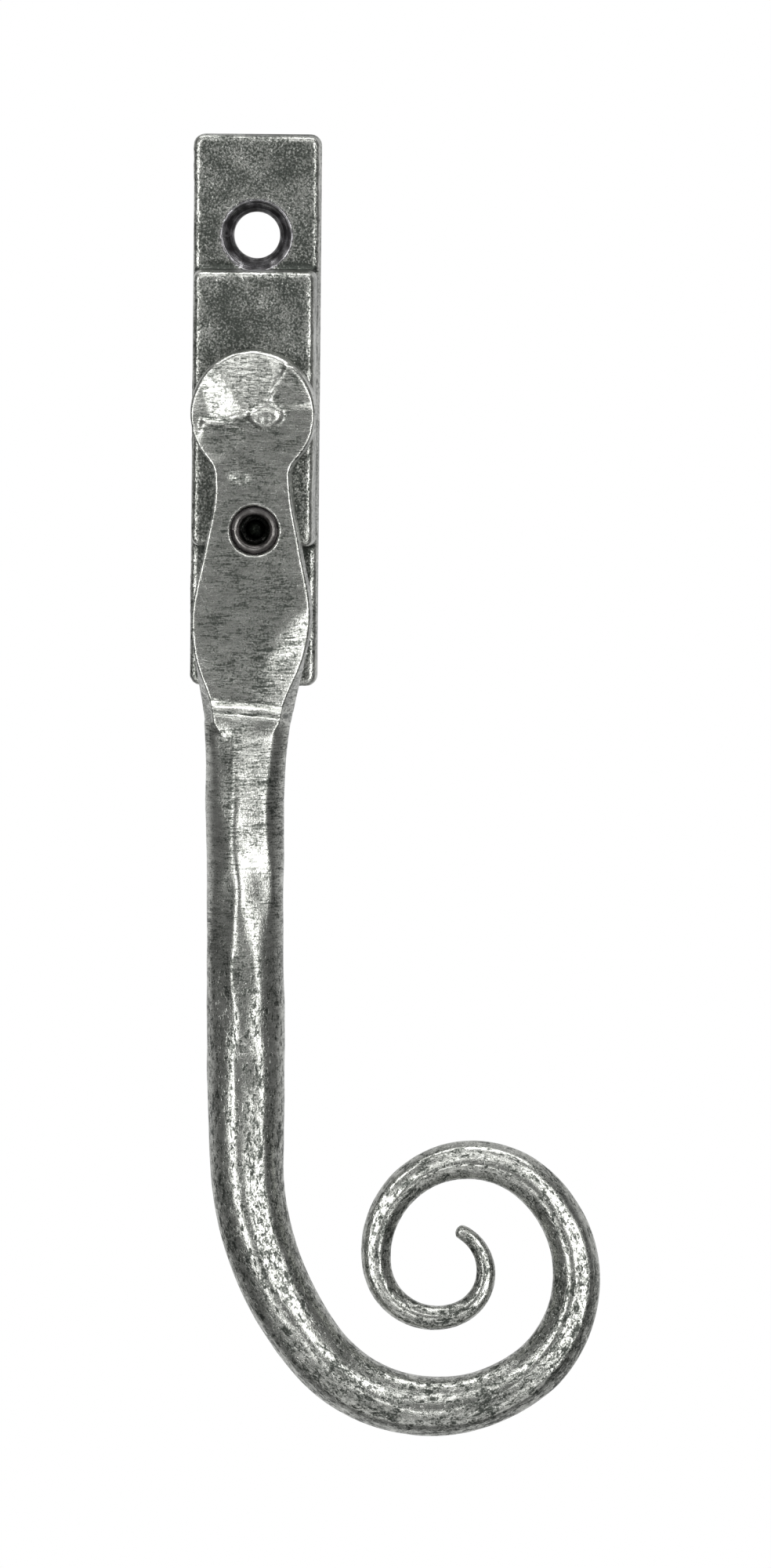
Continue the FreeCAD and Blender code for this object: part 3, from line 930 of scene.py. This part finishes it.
def rounded_box(name, low, high, upright_r, front_r, inset=0.0):
    """Box with rounded uprights along Y and a rolled front edge, its front drawn in by an inset."""
    work = bmesh.new()
    bmesh.ops.create_cube(work, size=1.0)
    middle = (low + high) / 2
    size = high - low
    for vertex in work.verts:
        vertex.co = Vector(middle + np.array(vertex.co) * size)
        if vertex.co.y < middle[1]:
            vertex.co.x -= inset * math.copysign(1, vertex.co.x - middle[0])
            vertex.co.z -= inset * math.copysign(1, vertex.co.z - middle[2])
    uprights = [e for e in work.edges if abs(e.verts[0].co.y - e.verts[1].co.y) > size[1] / 2]
    bmesh.ops.bevel(work, geom=uprights, offset=upright_r, segments=8, profile=0.5, affect="EDGES")
    front = [e for e in work.edges if all(v.co.y < low[1] + 1e-4 for v in e.verts)]
    rim = [e for e in front if any(abs(f.normal.y) < 0.5 for f in e.link_faces)]
    bmesh.ops.bevel(work, geom=rim, offset=front_r, segments=6, profile=0.5, affect="EDGES")
    return add_object(name, mesh_from(work, name))


# lock screw: its hex socket, its edges and the dog behind its thread
SOCKET_R = 1.85
SOCKET_DEPTH = 3.0
SCREW_THREAD = 2.6
SCREW_EDGE = 0.35
SCREW_DISH = 0.36
DOG_R = 1.2


def make_lock_screw():
    """Socket grub screw below the face, with its thread in the neck and its dog towards the housing."""
    front = SCREW_LOW[1]
    back = SCREW_HIGH[1]
    thread_end = front + SCREW_THREAD
    body_r = (SCREW_HIGH[0] - SCREW_LOW[0]) / 2
    profile = [
        (DOG_R - 0.2, back), (DOG_R, back - 0.2), (DOG_R, thread_end), (body_r - SCREW_EDGE, thread_end),
        (body_r, thread_end - SCREW_EDGE), (body_r, front + 0.1), (body_r - 0.1, front),
        (SOCKET_R, front + SCREW_DISH)]
    piece = turned("grub_screw", profile, LOCK_X, LOCK_Z)
    mouth = [(SOCKET_R, front + SCREW_DISH + 0.6), (SOCKET_R, front), (SOCKET_R, front - 1.0)]
    cut(piece, turned("cutter", mouth, LOCK_X, LOCK_Z))
    floor = front + SOCKET_DEPTH
    socket = [(0.2, floor + 0.4), (SOCKET_R - 0.02, floor), (SOCKET_R - 0.02, front)]
    cut(piece, turned("cutter", socket, LOCK_X, LOCK_Z, sides=6))
    add_values(piece.data, "grain", points_of(piece.data))
    add_turning(piece.data, [(LOCK_X, LOCK_Z)])
    in_socket = hole_faces(piece.data, LOCK_X, LOCK_Z, SOCKET_R * 0.99, floor + 0.5)
    ring_metal = machined("screw_steel_dark", (0.09, 0.086, 0.082), (0.30, 0.288, 0.278))
    # the socket's faces get a near-black colour, far darker than the screw's face: painted shade in the
    # deep recess
    socket_painted_shade = machined("socket_shade", (0.008, 0.009, 0.008), (0.022, 0.026, 0.020))
    finish_piece(piece, "lock_screw", "lock", [ring_metal, socket_painted_shade], in_socket)


# casting: the plate's front, the raised block on it, and the countersinks
PLATE_FRONT = -4.0
PLATE_CORNER_R = 1.4
BLOCK_TOP = 17.5
BLOCK_BOTTOM = -16.75
BLOCK_HALF = 7.75
BLOCK_BACK = -1.0
BLOCK_CORNER_R = 1.1
BLOCK_DRAFT = 0.22
ROLLED_EDGE = 0.9
CAST_VOXEL = 0.21
# taken off the front, so that its waves stay inside the CAD model's box
CAST_LOSS = 0.14
SINK_R = 4.45
BUSH_R = 4.75
BUSH_END = -1.0
# corners of the pocket for the cam and of the wider seat for its detent springs, behind the cover
POCKET_LOW, POCKET_HIGH = (-6.3, -8.6, -7.5), (6.3, 0.5, 7.5)
SEAT_LOW, SEAT_HIGH = (-4.8, -8.6, -10.2), (4.8, 0.5, 10.2)
POCKET_CORNER_R = 0.3
COVER_CORNER_R = 1.5
COVER_GAP = 0.06
SHARP = 0.01
DOG_HOLE_R = 1.4
DOG_HOLE_END = -8.9


def cast_body():
    """Plate and raised block in one even skin."""
    plate = rounded_box(
        "cast_housing", HOUSING_LOW * [1, 0, 1] + [0, PLATE_FRONT, 0], HOUSING_HIGH,
        PLATE_CORNER_R, ROLLED_EDGE)
    low = np.array([-BLOCK_HALF, HOUSING_LOW[1], BLOCK_BOTTOM])
    high = np.array([BLOCK_HALF, BLOCK_BACK, BLOCK_TOP])
    block = rounded_box("block", low, high, BLOCK_CORNER_R, ROLLED_EDGE, BLOCK_DRAFT)
    union = plate.modifiers.new("union", "BOOLEAN")
    union.operation = "UNION"
    union.solver = "EXACT"
    union.object = block
    remesh = plate.modifiers.new("remesh", "REMESH")
    remesh.mode = "VOXEL"
    remesh.voxel_size = CAST_VOXEL
    apply_modifiers(plate)
    bpy.data.objects.remove(block)
    return plate


def roughen_casting(mesh, sinks):
    """Gives the casting its waves and grit, its wear, and a painted highlight on the walls that face right.
    """
    points = points_of(mesh)
    normal = normals_of(mesh)
    x, y, z = points.T
    front = smooth_step(-0.5, -2.0, y)
    relief = 0.10 * wave_noise(x * 0.10, y * 0.3, z * 0.09) + 0.05 * wave_noise(x * 0.35, y * 0.35, z * 0.3)
    relief = relief + 0.030 * grit_noise(x * 1.9, y * 1.9, z * 1.9)
    relief = relief + 0.012 * grit_noise(x * 3.6, y * 3.6, z * 3.6)
    moved = points + normal * ((relief - CAST_LOSS) * front)[:, None]
    wear_and_painted_light = edge_wear(mesh, 7) * (1.9 + 1.6 * grit_noise(x * 0.5, y * 0.5, z * 0.5))
    put_points(mesh, moved)
    # faces turned to the right (+X) are painted lighter: a painted highlight on the right-facing walls
    wear_and_painted_light = np.clip(wear_and_painted_light, -0.10, 0.14) + 0.07 * (normal[:, 0] > 0.6)
    add_values(mesh, "wear_and_painted_light", wear_and_painted_light + bright_rim(points, sinks, SINK_R + 0.1, PLATE_FRONT + 1))


def bore_casting(plate, sinks):
    """Cuts the fixing holes, the dog's hole, the pocket with its seat, the bush's bore and the recess."""
    reach = HOUSING_HIGH[1] + 1
    hole = FIXING["hole_r_mm"]
    for side_x, side_z in sinks:
        profile = [
            (hole, reach), (hole, PLATE_FRONT + SINK_R - hole), (SINK_R, PLATE_FRONT),
            (SINK_R + 0.05, PLATE_FRONT - 0.05), (SINK_R + 0.05, PLATE_FRONT - 0.4)]
        cut(plate, turned("cutter", profile, side_x, side_z))
    dog_hole = [(DOG_HOLE_R, DOG_HOLE_END), (DOG_HOLE_R, HOUSING_LOW[1] - 1)]
    cut(plate, turned("cutter", dog_hole, LOCK_X, LOCK_Z, sides=48))
    for low, high in ((POCKET_LOW, POCKET_HIGH), (SEAT_LOW, SEAT_HIGH)):
        cut(plate, rounded_box("pocket", np.array(low), np.array(high), POCKET_CORNER_R, SHARP))
    cut(plate, turned("cutter", [(BUSH_R, BUSH_END), (BUSH_R, HOUSING_LOW[1] - 1)], 0.0, 0.0))
    gap = np.array([COVER_GAP, 0, COVER_GAP])
    recess_high = COVER_HIGH + gap + [0, 2, 0]
    cut(plate, rounded_box("recess", COVER_LOW - gap, recess_high, COVER_CORNER_R, SHARP))


def make_housing():
    """The cast plate with its raised housing."""
    sinks = [(0.0, side * FIXING["spacing_y_mm"] / 2) for side in (-1, 1)]
    plate = cast_body()
    roughen_casting(plate.data, sinks)
    bore_casting(plate, sinks)
    add_values(plate.data, "grain", points_of(plate.data))
    add_turning(plate.data, sinks)
    in_holes = [hole_faces(plate.data, x, z, SINK_R + 0.02, HOUSING_HIGH[1] - 0.05) for x, z in sinks]
    sink_metal = machined("machined_sink", (0.06, 0.058, 0.06), (0.34, 0.335, 0.345))
    finish_piece(
        plate, "base_housing", "plate", [pewter("pewter_cast", cast=True), sink_metal],
        in_holes[0] | in_holes[1])


def dress_cad_nodes():
    """Materials for the CAD pieces that keep their own shape."""
    nodes = frame["nodes"]
    zinc = plain_steel("zinc_steel", (0.56, 0.56, 0.54), (0.22, 0.22, 0.21), 0.32, (900, 60, 900))
    black = plain_steel("black_steel", (0.26, 0.24, 0.25), (0.07, 0.06, 0.065), 0.30, (1500, 1500, 1500))
    spring = plain_steel("spring_steel", (0.30, 0.32, 0.36), (0.08, 0.09, 0.11), 0.30, (200, 200, 1400))
    brass = plain_steel("bush_brass", (0.62, 0.47, 0.20), (0.25, 0.17, 0.07), 0.35, (900, 120, 900))
    cover = plain_steel("pressed_steel", (0.52, 0.52, 0.50), (0.18, 0.18, 0.17), 0.36, (1400, 200, 90))
    chosen = {
        "spindle": zinc, "indexing_cam": zinc, "back_plate_screws": black,
        "thrust_washer": black, "disc_spring": spring, "detent_spring_left": spring,
        "detent_spring_right": spring, "spindle_bush": brass, "back_plate": cover,
    }
    for name, material in chosen.items():
        slots = nodes[name].data.materials
        slots.clear()
        slots.append(material)


# ---------------------------------------------------------------- stage, lights and camera

# camera: its distance from its aim and the height of its frame there, in metres
CAMERA_DISTANCE = 1.6
FRAME_HEIGHT = 0.191
SENSOR = 36.0
AIM = Vector((0.01681, -0.0175, -0.0450))
AZIMUTH = math.radians(1.5)
ELEVATION = math.radians(3.0)
ROLL = math.radians(0.53)
LIGHT_DISTANCE = 1.2
WHITE = (1.0, 1.0, 1.0, 1.0)
# (name, azimuth, elevation, width, height, brightness) of each softbox, its angles in degrees
SOFTBOXES = [
    ("left_front", -38, 4, 19, 60, 4.2),
    ("right_front", 30, 4, 19, 60, 4.2),
    ("above", -4, 34, 30, 18, 2.2),
    ("below", -4, -24, 30, 12, 2.4),
    ("top", 0, 84, 70, 32, 3.0),
    ("low", 0, -60, 70, 36, 0.6),
]
WORLD_FRONT = 0.17
WORLD_BACK = 0.75
FLOOR_Z = -0.5
FLOOR_R = 2.4
FLOOR_SIDES = 96
BACKDROP_R = 4.4


def towards(azimuth, elevation):
    """Direction from the handle at an azimuth from its front and an elevation."""
    flat = math.cos(elevation)
    return Vector((math.sin(azimuth) * flat, -math.cos(azimuth) * flat, math.sin(elevation)))


def make_camera():
    """Camera at the photograph's angle."""
    data = bpy.data.cameras.new("camera")
    data.sensor_width = SENSOR
    data.lens = SENSOR * CAMERA_DISTANCE / FRAME_HEIGHT
    data.clip_start = 0.1
    data.clip_end = 20.0
    camera = add_object("camera", data)
    back = towards(AZIMUTH, ELEVATION)
    camera.location = AIM + back * CAMERA_DISTANCE
    camera.rotation_mode = "QUATERNION"
    level = (-back).to_track_quat("-Z", "Y")
    camera.rotation_quaternion = level @ Matrix.Rotation(ROLL, 3, "Z").to_quaternion()
    bpy.context.scene.camera = camera


def softbox(name, azimuth, elevation, wide, tall, brightness):
    """Area light aimed at the handle. Its place and size are angles seen from the handle, in degrees."""
    data = bpy.data.lights.new(name, "AREA")
    data.shape = "RECTANGLE"
    data.size = 2 * LIGHT_DISTANCE * math.tan(math.radians(wide / 2))
    data.size_y = 2 * LIGHT_DISTANCE * math.tan(math.radians(tall / 2))
    data.energy = brightness * math.pi * data.size * data.size_y
    light = add_object(name, data)
    back = towards(math.radians(azimuth), math.radians(elevation))
    light.location = AIM + back * LIGHT_DISTANCE
    light.rotation_mode = "QUATERNION"
    light.rotation_quaternion = back.to_track_quat("Z", "Y")
    light.visible_camera = False


def glowing(name):
    """Material that only glows white."""
    material = bpy.data.materials.new(name)
    material.use_nodes = True
    tree = material.node_tree
    tree.nodes.clear()
    out = tree.nodes.new("ShaderNodeOutputMaterial")
    glow = tree.nodes.new("ShaderNodeEmission")
    glow.inputs["Color"].default_value = WHITE
    glow.inputs["Strength"].default_value = 1.0
    tree.links.new(glow.outputs[0], out.inputs["Surface"])
    return material


def make_world():
    """Dim studio: dark round the sides and paler behind the handle."""
    world = bpy.data.worlds.new("studio")
    bpy.context.scene.world = world
    world.use_nodes = True
    tree = world.node_tree
    place = tree.nodes.new("ShaderNodeTexCoord")
    parts = tree.nodes.new("ShaderNodeSeparateXYZ")
    ramp = tree.nodes.new("ShaderNodeMapRange")
    ramp.interpolation_type = "SMOOTHSTEP"
    limits = {"From Min": 0.0, "From Max": 0.9, "To Min": WORLD_FRONT, "To Max": WORLD_BACK}
    for key, number in limits.items():
        ramp.inputs[key].default_value = number
    tree.links.new(place.outputs["Generated"], parts.inputs[0])
    tree.links.new(parts.outputs["Y"], ramp.inputs["Value"])
    tree.links.new(ramp.outputs[0], tree.nodes["Background"].inputs["Strength"])
    tree.nodes["Background"].inputs["Color"].default_value = WHITE


def make_floor():
    """Plain pale floor below the handle."""
    angle = np.linspace(0, 2 * math.pi, FLOOR_SIDES, endpoint=False)
    rim = np.stack([FLOOR_R * np.cos(angle), FLOOR_R * np.sin(angle), np.full(FLOOR_SIDES, FLOOR_Z)], 1)
    floor = new_mesh("floor", rim, [tuple(range(FLOOR_SIDES))])
    pale = Shader("pale_floor")
    mottle = pale.noise(object_grain(pale, (3, 3, 3)), 1.0, 3.0, 0.5)
    colour = pale.mix_colour(mottle, (0.90, 0.90, 0.90), (0.94, 0.94, 0.94))
    pale.link(colour, pale.main.inputs["Base Color"])
    pale.main.inputs["Roughness"].default_value = 0.9
    pale.main.inputs["Emission Color"].default_value = WHITE
    pale.main.inputs["Emission Strength"].default_value = 0.4
    floor.data.materials.append(pale.material)
    floor.visible_glossy = False


def make_backdrop():
    """White all round, for the camera only: the metal reflects the studio instead."""
    work = bmesh.new()
    bmesh.ops.create_uvsphere(work, u_segments=48, v_segments=24, radius=BACKDROP_R)
    backdrop = add_object("backdrop", mesh_from(work, "backdrop"))
    backdrop.data.materials.append(glowing("backdrop_white"))
    backdrop.visible_diffuse = False
    backdrop.visible_glossy = False
    backdrop.visible_transmission = False
    backdrop.visible_shadow = False


def make_stage():
    """Floor, backdrop, world and lights."""
    bpy.context.scene.view_settings.view_transform = "Standard"
    make_world()
    make_floor()
    make_backdrop()
    for row in SOFTBOXES:
        softbox(*row)


make_stage()
make_camera()
dress_cad_nodes()
make_housing()
make_lever()
make_lock_screw()
